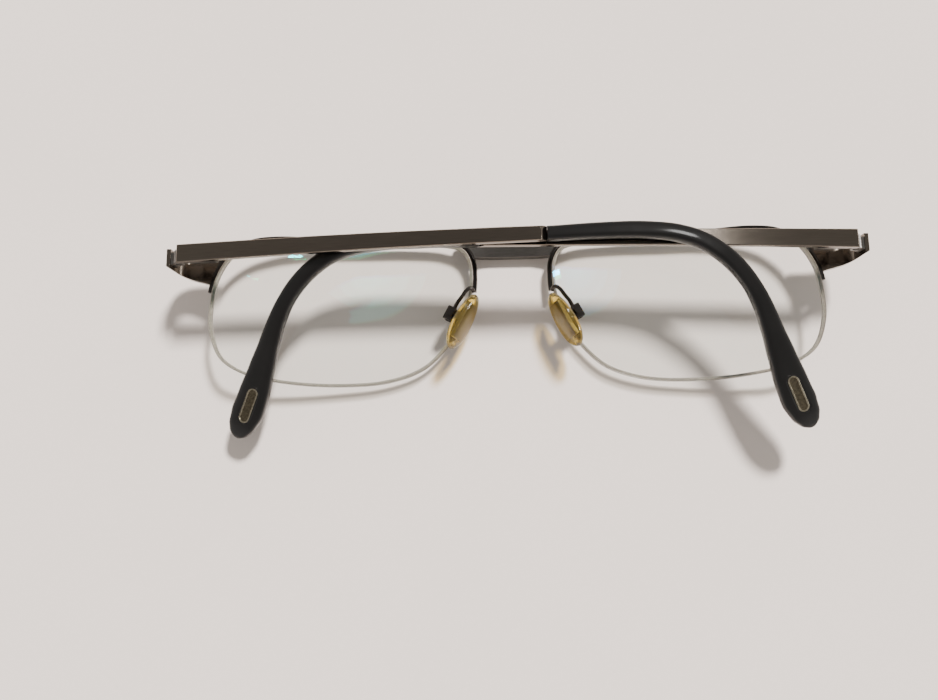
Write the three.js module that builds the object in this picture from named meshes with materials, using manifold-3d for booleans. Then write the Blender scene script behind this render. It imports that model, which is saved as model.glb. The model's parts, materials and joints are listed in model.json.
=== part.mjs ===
// Half-rim spectacles, folded and lying on their front.
// Millimetres. X runs across the front towards the wearer's right, Y towards the brow,
// and Z is up from the table, which is backwards towards the wearer.
// The right half is modelled at X > 0, and the left half is its mirror image.
import * as THREE from "three";
import { mergeVertices } from "three/addons/utils/BufferGeometryUtils.js";
import Module from "manifold-3d";

const wasm = await Module();
wasm.setup();

// Driving dimensions of the front.
const BOX_CENTRE_SHIFT_Y = 4.3357; // brings the middle of the whole object's box to Y = 0
const LENS_RADIUS = 120; // of the front surface
const LENS_APEX_X = 25.6; // the point of each lens that touches the table
const LENS_THICKNESS = 2;
const LENS_BEVEL = 0.14;
const GROOVE_DEPTH = 0.52;
const GROOVE_WIDTH = 0.6;
const STRAND_OFFSET = -0.23; // the nylon's centre, measured outwards from the lens edge
const STRAND_GAP = 0.25; // from one strand's end to the next, counted in outline points
const CORD_RADIUS = 0.24;
const LINER_HALF_WIDTH = 0.2;
const LINER_HALF_DEPTH = 0.22;
const RIM_GAP = 0.06; // between lens edge and rim
const RIM_WIDTH = 0.9; // across the front
const RIM_DEPTH = 1.05; // front to back
const RIM_CHAMFER = 0.18;
const STATIONS_PER_POINT = 4; // steps between two points of the lens outline
const RIM_FROM = -0.75; // the rim's nasal end, counted in outline points
const RIM_TO = 10.5; // its outer end
const JOINT_GAP = 0.04; // between pieces that are soldered or pressed together

// The lens edge seen from behind, clockwise from the nasal side, by its round points.
const LENS_OUTLINE = [
  [8.0, 7.2],
  [8.3, 10.4],
  [9.7, 12.8],
  [13.0, 14.0],
  [20.5, 14.2],
  [30.0, 14.3],
  [39.5, 15.1],
  [47.5, 15.3],
  [52.6, 14.4],
  [56.4, 11.8],
  [59.0, 7.2],
  [60.05, 1.0],
  [59.8, -4.0],
  [57.7, -9.2],
  [53.2, -12.2],
  [45.5, -13.9],
  [35.0, -14.6],
  [25.0, -13.9],
  [18.0, -11.4],
  [13.4, -7.1],
  [9.9, -1.5],
  [8.4, 3.2],
];
const LENS_MIDDLE = [34, 0.3];

// Bridge.
const BRIDGE_BOTTOM_Y = 11.5;
const BRIDGE_TOP_Y = 15.2;
const BRIDGE_FLAT_HALF = 4.2; // half of the flat stretch that rests on the table
const BRIDGE_HALF = 11.5;
const BRIDGE_RISE = 1.9; // how far the ends sweep back
const BRIDGE_THICKNESS = 1.9;
const BRIDGE_STEPS = 6; // flats along each swept end
const BRIDGE_STATIONS = [0.8, 3.4]; // the stretch of the rim that a bridge end follows

// Endpiece and hinge.
const HINGE_X = 64.6;
const HINGE_Y = 9.85;
const HINGE_Z = 11.6;
const ENDPIECE_OUTER_X = 67.05;
const ENDPIECE_WALL = 0.8;
const ENDPIECE_BACK_Z = 11.8;
const ENDPIECE_TOP_Y = 11.7;
const ENDPIECE_STATIONS = [9, 10.2]; // the stretch of the rim that an endpiece follows
const HINGE_HALF_HEIGHT = 1.2;
const TONGUE_HALF_HEIGHT = 0.52;
const EAR_INNER_HALF = 0.57;
const KNUCKLE_RADIUS = 1.05;
const SCREW_RADIUS = 0.55;
const SCREW_HOLE_RADIUS = 0.6;
const SCREW_HEAD_RADIUS = 0.95;
const SCREW_HEAD_HEIGHT = 0.38;

// Temple, in its own frame: origin on the hinge axis, U from the hinge to the free end,
// V towards the brow and W away from the lenses.
const LEFT_FOLD = THREE.MathUtils.degToRad(1.3); // the left temple lies on the right one
const RIGHT_FOLD = THREE.MathUtils.degToRad(-0.9);
const BAR_START_U = 0.3;
const BAR_END_U = 71;
const BAR_INNER_W = 1.15;
const BAR_OUTER_W = 2.4;
const BAR_START_V = 0.3; // middle of the bar at the hinge
const BAR_END_V = 2.2; // and where it meets the tip
const BAR_BOW = 0.32; // how far its middle bows towards the brow
const BAR_STEPS = 8;
const BAR_START_HALF = 1.78;
const BAR_END_HALF = 1.42;
const BAR_BEVEL = 0.16;
const BAR_NOSE = 1.1; // length of the chamfer at the bar's free end
const TONGUE_PLATE = [1.35, 8.3]; // where the temple leaf starts and ends along U
const TIP_HALF_THICKNESS = 1.2;
const TIP_SIDES = 16;
const TIP_STEPS = 36;
const CORE_HALF_HEIGHT = 0.7;
const CORE_HALF_THICKNESS = 0.4;
const CORE_CLEARANCE = 0.06;
const CORE_SHARE = 0.72; // of the tip's length that the wire core reaches
const PLAQUE_LENGTH = 7;
const PLAQUE_WIDTH = 2.1;
const PLAQUE_RECESS = 0.22;
const PLAQUE_PROUD = 0.04;
const PLAQUE_AT = 0.9; // place along the tip

// Middle line of the tip: U, V and W.
const TIP_LINE = [
  [71.06, 2.2, 1.45],
  [81, 2.5, 1.45],
  [89, 2.4, 1.45],
  [95, 1.65, 1.45],
  [99.6, 0.05, 1.42],
  [103, -2.25, 1.3],
  [105.9, -5.05, 0.95],
  [108.4, -8.45, 0.35],
  [110.4, -12.35, -0.5],
  [112, -16.55, -1.5],
  [113.6, -21.05, -2.55],
  [115.2, -25.45, -3.65],
  [116.9, -29.6, -4.65],
  [119.3, -34.3, -5.7],
];
// Half width of the tip against the share of its length.
const TIP_HALF_WIDTHS = [
  [0, 1.4],
  [0.26, 1.58],
  [0.45, 1.6],
  [0.59, 1.55],
  [0.65, 1.7],
  [0.72, 2.0],
  [0.79, 2.5],
  [0.86, 3.0],
  [0.92, 3.2],
  [0.96, 2.7],
  [0.985, 1.9],
  [1, 1.1],
];

// Nose pad.
const PAD_CENTRE = [9.8, -2.65, 6.2];
const PAD_SPLAY = THREE.MathUtils.degToRad(18); // how far the pads open towards the wearer
const PAD_LEAN = THREE.MathUtils.degToRad(27.5); // how far their tops come together
const PAD_HALF_LENGTH = 5.9;
const PAD_HALF_WIDTH = 3.3;
const PAD_HALF_THICKNESS = 1.1;
const PAD_TO_SCREW = 2.85; // from the pad's middle back to the screw in its box
const BOX_UP = 0.35; // the box sits a little above the pad's middle
const BOX_HALF_LENGTH = 1.4;
const BOX_BACK = 1.2;
const BOX_FRONT = 0.62;
const BOX_SLOT_BACK = 0.92;
const BOX_SLOT_HALF = 0.61;
const BOX_HALF_WIDTH = 1.1;
const LUG_HALF_WIDTH = 0.55;
const LUG_RADIUS = 0.8;
const INSERT_HALF_LENGTH = 3.7;
const INSERT_HALF_WIDTH = 1.9;
const INSERT_HALF_THICKNESS = 0.3;
const PAD_SCREW_RADIUS = 0.4;
const PAD_SCREW_HEAD_RADIUS = 0.72;
const PAD_SCREW_HEAD_HEIGHT = 0.32;
const ARM_RADIUS = 0.4;
// Route of the wire from the nasal end of the rim towards the pad box.
const ARM_ROUTE = [
  [7.85, 4.0, 3.52],
  [8.05, 4.4, 4.05],
  [8.6, 4.45, 4.65],
  [9.35, 3.8, 5.0],
  [10.1, 2.7, 5.15],
];

// Materials.
const finish = (color, roughness, metalness) =>
  new THREE.MeshStandardMaterial({ color, roughness, metalness });
const GUNMETAL = finish(0x5b554d, 0.38, 0.85);
const DARK_METAL = finish(0x37332f, 0.25, 0.9);
const STEEL = finish(0x9a9a98, 0.3, 0.95);
const ACETATE = finish(0x17161a, 0.35, 0);
const SILVER = finish(0x968f7c, 0.35, 0.9);
const SILICONE = finish(0xcf9a35, 0.25, 0);
const LENS_PLASTIC = finish(0xe9f2f0, 0.05, 0);
const NYLON = finish(0xe8e8e6, 0.3, 0);

function mesh(name, geometry, material) {
  const made = new THREE.Mesh(geometry, material);
  made.name = name;
  return made;
}

// Solids: three.js geometry to manifold-3d and back.
function solid(geometry) {
  const bare = geometry.clone();
  bare.deleteAttribute("normal");
  bare.deleteAttribute("uv");
  const merged = mergeVertices(bare, 1e-4);
  return new wasm.Manifold(
    new wasm.Mesh({
      numProp: 3,
      vertProperties: new Float32Array(merged.attributes.position.array),
      triVerts: new Uint32Array(merged.index.array),
    }),
  );
}

function geometryOf(made) {
  const { vertProperties, triVerts, numProp } = made.getMesh();
  const positions = new Float32Array((vertProperties.length / numProp) * 3);
  for (let i = 0; i * 3 < positions.length; i++) {
    positions.set(vertProperties.subarray(i * numProp, i * numProp + 3), i * 3);
  }
  const geometry = new THREE.BufferGeometry();
  geometry.setAttribute("position", new THREE.BufferAttribute(positions, 3));
  geometry.setIndex(new THREE.BufferAttribute(new Uint32Array(triVerts), 1));
  geometry.computeVertexNormals();
  return geometry;
}

// A closed skin over a row of rings with equally many points, closed at both ends by a fan.
function loft(rings) {
  const count = rings[0].length;
  const middle = (ring) =>
    ring.reduce((sum, p) => sum.add(p), new THREE.Vector3()).divideScalar(count);
  const points = [...rings.flat(), middle(rings[0]), middle(rings.at(-1))];
  const first = rings.length * count;
  const faces = [];
  for (let j = 0; j < count; j++) {
    const k = (j + 1) % count;
    faces.push(first, k, j);
    for (let i = 0; i < rings.length - 1; i++) {
      const a = i * count;
      const b = a + count;
      faces.push(a + j, a + k, b + j);
      faces.push(a + k, b + k, b + j);
    }
    faces.push(first + 1, first - count + j, first - count + k);
  }
  return facingOut(points, faces);
}

function facingOut(points, faces) {
  let volume = 0;
  for (let i = 0; i < faces.length; i += 3) {
    const [a, b, c] = [points[faces[i]], points[faces[i + 1]], points[faces[i + 2]]];
    volume += a.dot(b.clone().cross(c));
  }
  if (volume < 0) faces.reverse();
  const geometry = new THREE.BufferGeometry().setFromPoints(points);
  geometry.setIndex(faces);
  geometry.computeVertexNormals();
  return geometry;
}

function shapeOf(corners) {
  return new THREE.Shape(corners.map(([x, y]) => new THREE.Vector2(x, y)));
}

// A prism over a shape drawn in X and Y, from one height to another.
function prism(shape, from, to) {
  const geometry = new THREE.ExtrudeGeometry(shape, {
    depth: to - from,
    bevelEnabled: false,
    curveSegments: 10,
  });
  return geometry.translate(0, 0, from);
}

// The same for a shape drawn in X and Z, from one Y to another.
function prismAlongY(shape, from, to) {
  return prism(shape, -to, -from).rotateX(Math.PI / 2);
}

function box(width, height, depth, x, y, z) {
  return new THREE.BoxGeometry(width, height, depth).translate(x, y, z);
}

function rodAlongY(radius, from, to, sides) {
  return new THREE.CylinderGeometry(radius, radius, to - from, sides).translate(0, (from + to) / 2, 0);
}

// Lens edge and everything that follows it.
const outline = new THREE.CatmullRomCurve3(
  LENS_OUTLINE.map(([x, y]) => new THREE.Vector3(x, y, 0)),
  true,
  "centripetal",
);

function sag(x, y) {
  const distance = Math.hypot(x - LENS_APEX_X, y);
  return LENS_RADIUS - Math.sqrt(LENS_RADIUS ** 2 - distance ** 2);
}

// A point outwards from the lens edge by offset, and lift above the front surface.
function edgePoint(station, offset, lift) {
  const t = THREE.MathUtils.euclideanModulo(station / LENS_OUTLINE.length, 1);
  const at = outline.getPoint(t);
  const along = outline.getTangent(t);
  const height = sag(at.x, at.y) + lift;
  return new THREE.Vector3(at.x - along.y * offset, at.y + along.x * offset, height);
}

function stationsBetween(from, to) {
  const steps = Math.round((to - from) * STATIONS_PER_POINT);
  return Array.from({ length: steps + 1 }, (_, i) => from + i / STATIONS_PER_POINT);
}

// A strip with a fixed section that runs along the lens edge. Its section is a list of
// [offset, lift] corners.
function strip(from, to, section) {
  return loft(
    stationsBetween(from, to).map((s) => section.map(([offset, lift]) => edgePoint(s, offset, lift))),
  );
}

function chamferedSection(halfWidth, halfHeight, chamfer, x, y) {
  const a = halfWidth - chamfer;
  const b = halfHeight - chamfer;
  return [
    [x - a, y - halfHeight],
    [x + a, y - halfHeight],
    [x + halfWidth, y - b],
    [x + halfWidth, y + b],
    [x + a, y + halfHeight],
    [x - a, y + halfHeight],
    [x - halfWidth, y + b],
    [x - halfWidth, y - b],
  ];
}

function lensGeometry() {
  const stations = stationsBetween(0, LENS_OUTLINE.length).slice(0, -1);
  const middle = new THREE.Vector3(...LENS_MIDDLE, 0);
  const surfaceRing = (share, lift) =>
    stations.map((s) => {
      const at = edgePoint(s, -LENS_BEVEL, 0).setZ(0).lerp(middle, 1 - share);
      return at.setZ(sag(at.x, at.y) + lift);
    });
  const edgeRing = (offset, lift) => stations.map((s) => edgePoint(s, offset, lift));
  const low = (LENS_THICKNESS - GROOVE_WIDTH) / 2;
  const high = (LENS_THICKNESS + GROOVE_WIDTH) / 2;
  return loft([
    surfaceRing(0.55, 0),
    edgeRing(-LENS_BEVEL, 0),
    edgeRing(0, LENS_BEVEL),
    edgeRing(0, low),
    edgeRing(-GROOVE_DEPTH, low),
    edgeRing(-GROOVE_DEPTH, high),
    edgeRing(0, high),
    edgeRing(0, LENS_THICKNESS - LENS_BEVEL),
    edgeRing(-LENS_BEVEL, LENS_THICKNESS),
    surfaceRing(0.55, LENS_THICKNESS),
  ]);
}

function rimGeometry() {
  const offset = RIM_GAP + RIM_WIDTH / 2;
  const section = chamferedSection(RIM_WIDTH / 2, RIM_DEPTH / 2, RIM_CHAMFER, offset, LENS_THICKNESS / 2);
  return strip(RIM_FROM, RIM_TO, section);
}

// The nylon that seats the lens in the rim, and the cord that holds it from below.
function linerGeometry() {
  const [x, y] = [STRAND_OFFSET, LENS_THICKNESS / 2];
  const section = [
    [x - LINER_HALF_WIDTH, y - LINER_HALF_DEPTH],
    [x + LINER_HALF_WIDTH, y - LINER_HALF_DEPTH],
    [x + LINER_HALF_WIDTH, y + LINER_HALF_DEPTH],
    [x - LINER_HALF_WIDTH, y + LINER_HALF_DEPTH],
  ];
  return strip(RIM_FROM, RIM_TO - STRAND_GAP, section);
}

function cordGeometry() {
  const section = Array.from({ length: 6 }, (_, i) => {
    const angle = (i * Math.PI) / 3;
    const [across, deep] = [CORD_RADIUS * Math.cos(angle), CORD_RADIUS * Math.sin(angle)];
    return [STRAND_OFFSET + across, LENS_THICKNESS / 2 + deep];
  });
  return strip(RIM_TO, LENS_OUTLINE.length + RIM_FROM - STRAND_GAP, section);
}

// The bridge bar is flat in the middle, sweeps back to the rims, and its ends follow them.
function bridgeGeometry() {
  const swept = Array.from({ length: BRIDGE_STEPS + 1 }, (_, i) => {
    const share = i / BRIDGE_STEPS;
    return [THREE.MathUtils.lerp(BRIDGE_FLAT_HALF, BRIDGE_HALF, share), BRIDGE_RISE * share ** 1.4];
  });
  const low = [...swept.map(([x, z]) => [-x, z]).reverse(), ...swept];
  const high = low.map(([x, z]) => [x, z + BRIDGE_THICKNESS]).reverse();
  const bar = solid(prismAlongY(shapeOf([...low, ...high]), BRIDGE_BOTTOM_Y, BRIDGE_TOP_Y));
  const rimSide = stationsBetween(...BRIDGE_STATIONS)
    .map((s) => edgePoint(s, RIM_GAP + RIM_WIDTH + JOINT_GAP, 0))
    .filter((p) => p.y > BRIDGE_BOTTOM_Y && p.x < BRIDGE_HALF)
    .map((p) => [p.x, p.y]);
  const start = [rimSide[0][0] - 0.1, BRIDGE_BOTTOM_Y - 1];
  const end = [rimSide.at(-1)[0], BRIDGE_TOP_Y + 1];
  const right = [start, ...rimSide, end];
  const left = right.map(([x, y]) => [-x, y]).reverse();
  return geometryOf(bar.intersect(solid(prism(shapeOf([...right, ...left]), -1, 8))));
}

// The endpiece leaves the rim sideways and turns back to the hinge.
function endpieceGeometry() {
  const inner = ENDPIECE_OUTER_X - ENDPIECE_WALL;
  const plan = new THREE.Shape();
  plan.moveTo(54, 4.9);
  plan.lineTo(62.2, 4.9);
  plan.bezierCurveTo(65.6, 5.0, ENDPIECE_OUTER_X, 6.0, ENDPIECE_OUTER_X, 8.6);
  plan.lineTo(ENDPIECE_OUTER_X, ENDPIECE_BACK_Z);
  plan.lineTo(inner, ENDPIECE_BACK_Z);
  plan.lineTo(inner, 8.8);
  plan.bezierCurveTo(inner, 7.0, 64.9, 6.35, 62.2, 6.25);
  plan.lineTo(54, 6.25);
  const rimSide = stationsBetween(...ENDPIECE_STATIONS)
    .map((s) => edgePoint(s, RIM_GAP + RIM_WIDTH + JOINT_GAP, 0))
    .filter((p) => p.y < ENDPIECE_TOP_Y)
    .map((p) => [p.x, p.y]);
  const front = new THREE.Shape();
  front.moveTo(rimSide[0][0], ENDPIECE_TOP_Y);
  rimSide.forEach(([x, y]) => front.lineTo(x, y));
  front.bezierCurveTo(62.5, 6.75, 65.2, 6.9, ENDPIECE_OUTER_X + 0.1, 8.35);
  front.lineTo(ENDPIECE_OUTER_X + 0.1, ENDPIECE_TOP_Y);
  const bent = solid(prismAlongY(plan, 5, 14));
  return geometryOf(bent.intersect(solid(prism(front, 3, 13))));
}

// Front leaf of the hinge: a plate on the endpiece's wall with two ears.
function earsGeometry() {
  const wall = ENDPIECE_OUTER_X - ENDPIECE_WALL - JOINT_GAP;
  const web = wall - 0.42;
  const leaf = new THREE.Shape();
  leaf.moveTo(wall, 9);
  leaf.lineTo(wall, 11.7);
  leaf.lineTo(HINGE_X + KNUCKLE_RADIUS, 11.7);
  leaf.absarc(HINGE_X, HINGE_Z, KNUCKLE_RADIUS, 0.1, 1.5 * Math.PI, false);
  leaf.lineTo(web, 9.4);
  leaf.lineTo(web, 9);
  const low = HINGE_Y - HINGE_HALF_HEIGHT;
  const high = HINGE_Y + HINGE_HALF_HEIGHT;
  const slot = box(4, 2 * EAR_INNER_HALF, 8, web - 2, HINGE_Y, 11);
  const hole = rodAlongY(SCREW_HOLE_RADIUS, low - 1, high + 1, 16).translate(HINGE_X, 0, HINGE_Z);
  return geometryOf(solid(prismAlongY(leaf, low, high)).subtract(solid(slot)).subtract(solid(hole)));
}

function hingeScrewGeometry() {
  const top = HINGE_HALF_HEIGHT + JOINT_GAP;
  const slotDepth = 0.16;
  const profile = [
    [0, -HINGE_HALF_HEIGHT + 0.15],
    [SCREW_RADIUS - 0.1, -HINGE_HALF_HEIGHT + 0.15],
    [SCREW_RADIUS, -HINGE_HALF_HEIGHT + 0.25],
    [SCREW_RADIUS, top],
    [SCREW_HEAD_RADIUS, top],
    [SCREW_HEAD_RADIUS, top + 0.22],
    [SCREW_HEAD_RADIUS - 0.2, top + SCREW_HEAD_HEIGHT],
    [0, top + SCREW_HEAD_HEIGHT],
  ];
  const turned = solid(new THREE.LatheGeometry(pointsOf(profile), 16));
  const slot = solid(box(3, 2 * slotDepth, 0.26, 0, top + SCREW_HEAD_HEIGHT, 0));
  return geometryOf(turned.subtract(slot)).translate(HINGE_X, HINGE_Y, HINGE_Z);
}

function pointsOf(pairs) {
  return pairs.map(([x, y]) => new THREE.Vector2(x, y));
}

// Temple leaf of the hinge: the middle knuckle and the plate under the bar. The temple's
// own frame has X = -U, Y = V and Z = W.
function tongueGeometry() {
  const knuckle = rodAlongY(KNUCKLE_RADIUS, -TONGUE_HALF_HEIGHT, TONGUE_HALF_HEIGHT, 20);
  const [start, end] = TONGUE_PLATE;
  const top = BAR_INNER_W - JOINT_GAP;
  const neck = box(start + 0.3, 2 * TONGUE_HALF_HEIGHT, 1.5, -(start + 0.3) / 2, 0, top - 0.8);
  const plan = shapeOf([
    [-start, top],
    [-end, top],
    [-end + 0.5, 0.15],
    [-start, 0.15],
  ]);
  const plate = prismAlongY(plan, -HINGE_HALF_HEIGHT + 0.1, HINGE_HALF_HEIGHT - 0.1);
  const hole = rodAlongY(SCREW_HOLE_RADIUS, -2, 2, 16);
  const barrel = solid(neck).add(solid(knuckle)).subtract(solid(hole));
  return geometryOf(barrel.add(solid(plate)));
}

function barGeometry() {
  const inset = BAR_BEVEL;
  const shares = Array.from({ length: BAR_STEPS + 1 }, (_, i) => i / BAR_STEPS);
  const edge = (share, sign) => {
    const bow = 4 * BAR_BOW * share * (1 - share);
    const half = THREE.MathUtils.lerp(BAR_START_HALF, BAR_END_HALF, share) - inset;
    return [
      -THREE.MathUtils.lerp(BAR_START_U + inset, BAR_END_U - inset, share),
      THREE.MathUtils.lerp(BAR_START_V, BAR_END_V, share) + bow + sign * half,
    ];
  };
  const lower = shares.map((share) => edge(share, -1));
  const upper = shares.map((share) => edge(share, 1)).reverse();
  const body = new THREE.ExtrudeGeometry(shapeOf([...lower, ...upper]), {
    depth: BAR_OUTER_W - BAR_INNER_W - 2 * inset,
    bevelEnabled: true,
    bevelSize: inset,
    bevelThickness: inset,
    bevelSegments: 1,
  }).translate(0, 0, BAR_INNER_W + inset);
  const chamfer = prismAlongY(
    shapeOf([
      [-BAR_END_U + BAR_NOSE, BAR_OUTER_W + 0.01],
      [-BAR_END_U - 0.1, BAR_OUTER_W - 0.75],
      [-BAR_END_U - 0.1, BAR_OUTER_W + 0.01],
    ]),
    -5,
    9,
  );
  return geometryOf(solid(body).subtract(solid(chamfer)));
}

// Acetate tip.
const tipLine = new THREE.CatmullRomCurve3(
  TIP_LINE.map(([u, v, w]) => new THREE.Vector3(-u, v, w)),
  false,
  "centripetal",
);

function between(table, at) {
  const next = table.findIndex(([share]) => share >= at);
  if (next <= 0) return table[Math.max(next, 0)][1];
  const [a, from] = table[next - 1];
  const [b, to] = table[next];
  return THREE.MathUtils.lerp(from, to, THREE.MathUtils.smoothstep(at, a, b) * 0.5 + ((at - a) / (b - a)) * 0.5);
}

// Directions across the tip: side lies in the temple's plane, out is away from the head.
function tipFrame(share) {
  const at = tipLine.getPointAt(share);
  const along = tipLine.getTangentAt(share);
  const side = new THREE.Vector3(0, 0, 1).cross(along).normalize();
  const out = along.clone().cross(side).normalize();
  return { at, along, side, out };
}

function tipGeometry() {
  const shares = Array.from({ length: TIP_STEPS + 1 }, (_, i) => i / TIP_STEPS);
  const rings = shares.map((share) => {
    const { at, side, out } = tipFrame(share);
    const end = THREE.MathUtils.smoothstep(share, 0.955, 1);
    const halfWidth = between(TIP_HALF_WIDTHS, share);
    const halfThickness = TIP_HALF_THICKNESS * (1 - 0.45 * end);
    return Array.from({ length: TIP_SIDES }, (_, i) => {
      const angle = ((i + 0.5) * 2 * Math.PI) / TIP_SIDES;
      const square = (value) => Math.sign(value) * Math.abs(value) ** 0.5;
      return at
        .clone()
        .addScaledVector(side, halfWidth * square(Math.cos(angle)))
        .addScaledVector(out, halfThickness * square(Math.sin(angle)));
    });
  });
  const whole = solid(loft(rings));
  const cored = whole.subtract(solid(coreSweep(CORE_CLEARANCE, 1)));
  return geometryOf(cored.subtract(solid(plaqueShape(0.05, -PLAQUE_RECESS, 1))));
}

// The wire core, grown by a clearance and lengthened by a run-out at each end.
function coreSweep(clearance, runOut) {
  const halfHeight = CORE_HALF_HEIGHT + clearance;
  const halfThickness = CORE_HALF_THICKNESS + clearance;
  const steps = 22;
  const shares = Array.from({ length: steps + 1 }, (_, i) => (CORE_SHARE * i) / steps);
  const frames = shares.map(tipFrame);
  frames.at(0).at.addScaledVector(frames.at(0).along, -runOut);
  frames.at(-1).at.addScaledVector(frames.at(-1).along, clearance * 2);
  return loft(
    frames.map(({ at, side, out }) =>
      [
        [-1, -1],
        [1, -1],
        [1, 1],
        [-1, 1],
      ].map(([a, b]) =>
        at
          .clone()
          .addScaledVector(side, a * halfHeight)
          .addScaledVector(out, b * halfThickness),
      ),
    ),
  );
}

// A small plate with round ends, sunk into the outer face of the tip.
function plaqueShape(grow, bottom, top) {
  const radius = PLAQUE_WIDTH / 2 + grow;
  const straight = (PLAQUE_LENGTH - PLAQUE_WIDTH) / 2;
  const stadium = new THREE.Shape();
  stadium.absarc(straight, 0, radius, -Math.PI / 2, Math.PI / 2, false);
  stadium.absarc(-straight, 0, radius, Math.PI / 2, 1.5 * Math.PI, false);
  const { at, along, side, out } = tipFrame(PLAQUE_AT);
  const place = new THREE.Matrix4().makeBasis(along, side, out).setPosition(at);
  return prism(stadium, TIP_HALF_THICKNESS + bottom, TIP_HALF_THICKNESS + top).applyMatrix4(place);
}

// Nose pad, in its own frame: X across the pad, Y towards its top, Z out of its face.
function padFrame() {
  const up = new THREE.Vector3(-Math.sin(PAD_LEAN), Math.cos(PAD_LEAN), 0);
  const inward = new THREE.Vector3(-Math.cos(PAD_LEAN), -Math.sin(PAD_LEAN), 0);
  const face = inward.multiplyScalar(Math.cos(PAD_SPLAY)).setZ(Math.sin(PAD_SPLAY));
  const across = up.clone().cross(face);
  return new THREE.Matrix4().makeBasis(across, up, face).setPosition(...PAD_CENTRE);
}

function padGeometry() {
  const sides = 24;
  const ringAt = (share, height) =>
    Array.from({ length: sides }, (_, i) => {
      const angle = (i * 2 * Math.PI) / sides;
      const y = Math.sin(angle);
      const width = PAD_HALF_WIDTH * (1 - 0.16 * y);
      return new THREE.Vector3(share * width * Math.cos(angle), share * PAD_HALF_LENGTH * y, height);
    });
  const skin = loft([
    ringAt(0.82, -PAD_HALF_THICKNESS),
    ringAt(0.95, -0.75),
    ringAt(1, -0.2),
    ringAt(0.96, 0.35),
    ringAt(0.82, 0.75),
    ringAt(0.5, 1),
    ringAt(0.2, PAD_HALF_THICKNESS),
  ]);
  return geometryOf(solid(skin).subtract(insertSolid(0.05)));
}

// The plate inside the pad, with the lug that reaches back into the box.
function insertSolid(grow) {
  const plate = box(
    2 * (INSERT_HALF_WIDTH + grow),
    2 * (INSERT_HALF_LENGTH + grow),
    2 * (INSERT_HALF_THICKNESS + grow),
    0,
    0,
    -0.1,
  );
  const lugLength = PAD_TO_SCREW - 0.1;
  const lug = box(
    2 * (LUG_HALF_WIDTH + grow),
    2 * (LUG_RADIUS + grow),
    lugLength,
    0,
    BOX_UP,
    -PAD_TO_SCREW + lugLength / 2,
  );
  return solid(plate).add(solid(lug));
}

function insertGeometry() {
  const round = rodAlongX(LUG_RADIUS, LUG_HALF_WIDTH, 16).translate(0, BOX_UP, -PAD_TO_SCREW);
  const hole = rodAlongX(PAD_SCREW_RADIUS + 0.05, 3, 12).translate(0, BOX_UP, -PAD_TO_SCREW);
  return geometryOf(insertSolid(0).add(solid(round)).subtract(solid(hole)));
}

function rodAlongX(radius, half, sides) {
  return rodAlongY(radius, -half, half, sides).rotateZ(Math.PI / 2);
}

function padBoxGeometry() {
  const depth = BOX_BACK + BOX_FRONT;
  const middle = -PAD_TO_SCREW + (BOX_FRONT - BOX_BACK) / 2;
  const body = box(2 * BOX_HALF_WIDTH, 2 * BOX_HALF_LENGTH, depth, 0, BOX_UP, middle);
  const slot = box(2 * BOX_SLOT_HALF, 8, 4, 0, BOX_UP, -PAD_TO_SCREW - BOX_SLOT_BACK + 2);
  const hole = rodAlongX(PAD_SCREW_RADIUS + 0.05, 3, 12).translate(0, BOX_UP, -PAD_TO_SCREW);
  return geometryOf(solid(body).subtract(solid(slot)).subtract(solid(hole)));
}

function padScrewGeometry() {
  const head = BOX_HALF_WIDTH + JOINT_GAP;
  const profile = [
    [0, -BOX_HALF_WIDTH],
    [PAD_SCREW_RADIUS, -BOX_HALF_WIDTH],
    [PAD_SCREW_RADIUS, head],
    [PAD_SCREW_HEAD_RADIUS, head],
    [PAD_SCREW_HEAD_RADIUS - 0.12, head + PAD_SCREW_HEAD_HEIGHT],
    [0, head + PAD_SCREW_HEAD_HEIGHT],
  ];
  const turned = new THREE.LatheGeometry(pointsOf(profile), 14).rotateZ(-Math.PI / 2);
  return turned.translate(0, BOX_UP, -PAD_TO_SCREW);
}

function armGeometry() {
  const boxMiddle = -PAD_TO_SCREW + (BOX_FRONT - BOX_BACK) / 2;
  const boxEnds = [1.2, 2 * JOINT_GAP].map((away) =>
    new THREE.Vector3(0, BOX_UP + BOX_HALF_LENGTH + away, boxMiddle).applyMatrix4(padFrame()),
  );
  const points = [...ARM_ROUTE.map((p) => new THREE.Vector3(...p)), ...boxEnds];
  const route = new THREE.CatmullRomCurve3(points);
  const wire = new THREE.Shape();
  wire.absarc(0, 0, ARM_RADIUS, 0, 2 * Math.PI, false);
  return new THREE.ExtrudeGeometry(wire, { steps: 18, curveSegments: 4, extrudePath: route });
}

// Assembly.
function frontHalf(side) {
  const group = new THREE.Group();
  group.add(mesh(side + "_rim", rimGeometry(), DARK_METAL));
  group.add(mesh(side + "_endpiece", endpieceGeometry(), GUNMETAL));
  group.add(mesh(side + "_hinge_ears", earsGeometry(), GUNMETAL));
  group.add(mesh(side + "_hinge_screw", hingeScrewGeometry(), STEEL));
  group.add(mesh(side + "_lens", lensGeometry(), LENS_PLASTIC));
  group.add(mesh(side + "_rim_liner", linerGeometry(), NYLON));
  group.add(mesh(side + "_lens_cord", cordGeometry(), NYLON));
  group.add(mesh(side + "_pad_arm", armGeometry(), DARK_METAL));
  const pad = new THREE.Group();
  pad.applyMatrix4(padFrame());
  pad.add(mesh(side + "_pad_box", padBoxGeometry(), DARK_METAL));
  pad.add(mesh(side + "_pad_screw", padScrewGeometry(), STEEL));
  pad.add(mesh(side + "_pad_insert", insertGeometry(), STEEL));
  pad.add(mesh(side + "_nose_pad", padGeometry(), SILICONE));
  group.add(pad);
  return group;
}

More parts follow.
